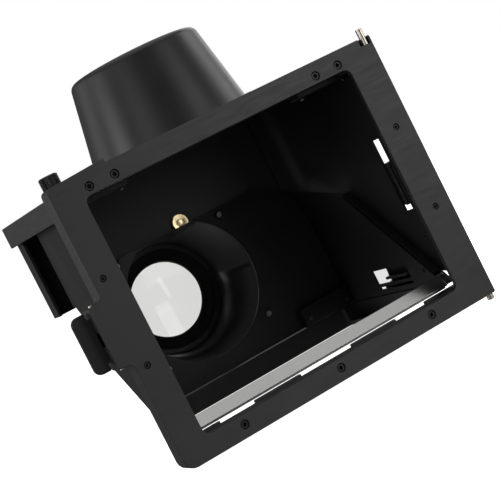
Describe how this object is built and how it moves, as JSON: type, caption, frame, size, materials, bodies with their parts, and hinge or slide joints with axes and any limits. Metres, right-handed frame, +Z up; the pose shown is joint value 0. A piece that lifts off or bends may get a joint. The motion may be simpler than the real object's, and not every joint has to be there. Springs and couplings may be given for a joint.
{
  "type": "reflex viewing hood",
  "caption": "Right-angle viewing hood for a large-format camera back: open front frame, mirror at 45 degrees, tapered eyepiece with a lens on top, sprung hinge pin and thumb latch.",
  "frame": {"origin": "centre of the viewing opening on the front face of the frame", "axes": "+X along the long side of the frame towards the hinge pins, +Y back into the hood, +Z up to the eyepiece"},
  "size_m": [0.1686, 0.0914, 0.1597],
  "materials": {
    "black_anodised": "satin black anodised, machined",
    "matt_black_paint": "matt black paint against stray light",
    "satin_black_moulding": "satin black moulding",
    "black_oxide": "blackened steel",
    "nickel": "bright nickel plating",
    "aluminium": "bright satin strip",
    "brass": "bright turned brass",
    "mirror_silver": "front-silvered mirror",
    "lens_glass": "polished clear glass",
    "seal_foam": "black foam strip"
  },
  "bodies": {
    "hood": {"front_frame": "black_anodised", "frame_screw_top_1": "black_oxide", "frame_screw_top_2": "black_oxide", "frame_screw_top_3": "black_oxide", "frame_screw_top_4": "black_oxide", "frame_screw_bottom_1": "black_oxide", "frame_screw_bottom_2": "black_oxide", "frame_screw_bottom_3": "black_oxide", "frame_screw_side_1": "black_oxide", "frame_screw_side_2": "black_oxide", "frame_screw_side_3": "black_oxide", "frame_screw_side_4": "black_oxide", "side_wall_left": "matt_black_paint", "side_wall_right": "matt_black_paint", "top_cover": "black_anodised", "back_panel": "black_anodised", "corner_block_left": "matt_black_paint", "corner_block_right": "matt_black_paint", "block_screw_1": "nickel", "block_screw_2": "nickel", "block_screw_3": "nickel", "block_screw_4": "nickel", "lower_rail": "black_anodised", "corner_web_left": "matt_black_paint", "mirror_glass": "mirror_silver", "mirror_carrier": "matt_black_paint", "mirror_lower_clip": "aluminium", "mirror_seal_left": "seal_foam", "mirror_seal_right": "seal_foam", "adjuster_locknut": "brass", "eyepiece_cone": "satin_black_moulding", "lens_cell": "matt_black_paint", "eyepiece_lens": "lens_glass", "lens_retainer": "matt_black_paint", "eyepiece_screw_1": "black_oxide", "eyepiece_screw_2": "black_oxide", "eyepiece_screw_3": "black_oxide", "eyepiece_screw_4": "black_oxide", "pin_spring": "nickel", "hinge_pin_upper": "nickel", "latch_pin": "nickel", "latch_spring": "nickel", "knob_boss": "black_anodised"},
    "pin": {"hinge_pin_lower": "nickel", "pin_slider": "black_anodised"},
    "latch": {"latch_lever": "matt_black_paint"},
    "knob": {"lock_knob": "black_oxide"},
    "adjuster": {"mirror_adjuster": "brass"}
  },
  "joints": [
    {"name": "pin_retract", "type": "slide", "parent": "hood", "child": "pin", "axis": [0, 0, 1], "range_m": [0, 0.0107], "stiffness_N_per_m": 150, "springref_m": -0.01, "deforming": ["pin_spring"]},
    {"name": "latch_swing", "type": "hinge", "parent": "hood", "child": "latch", "pos_m": [-0.0794, 0.0052, 0], "axis": [0, 0, 1], "range_deg": [-12, 0], "stiffness_Nm_per_rad": 0.05, "springref_deg": 11.46},
    {"name": "knob_turn", "type": "hinge", "parent": "hood", "child": "knob", "pos_m": [-0.068, 0.016, 0.06], "axis": [0, 0, 1], "continuous": true},
    {"name": "adjuster_turn", "type": "hinge", "parent": "hood", "child": "adjuster", "pos_m": [-0.002, 0.084, 0.0246], "axis": [0, 1, 0], "continuous": true}
  ]
}
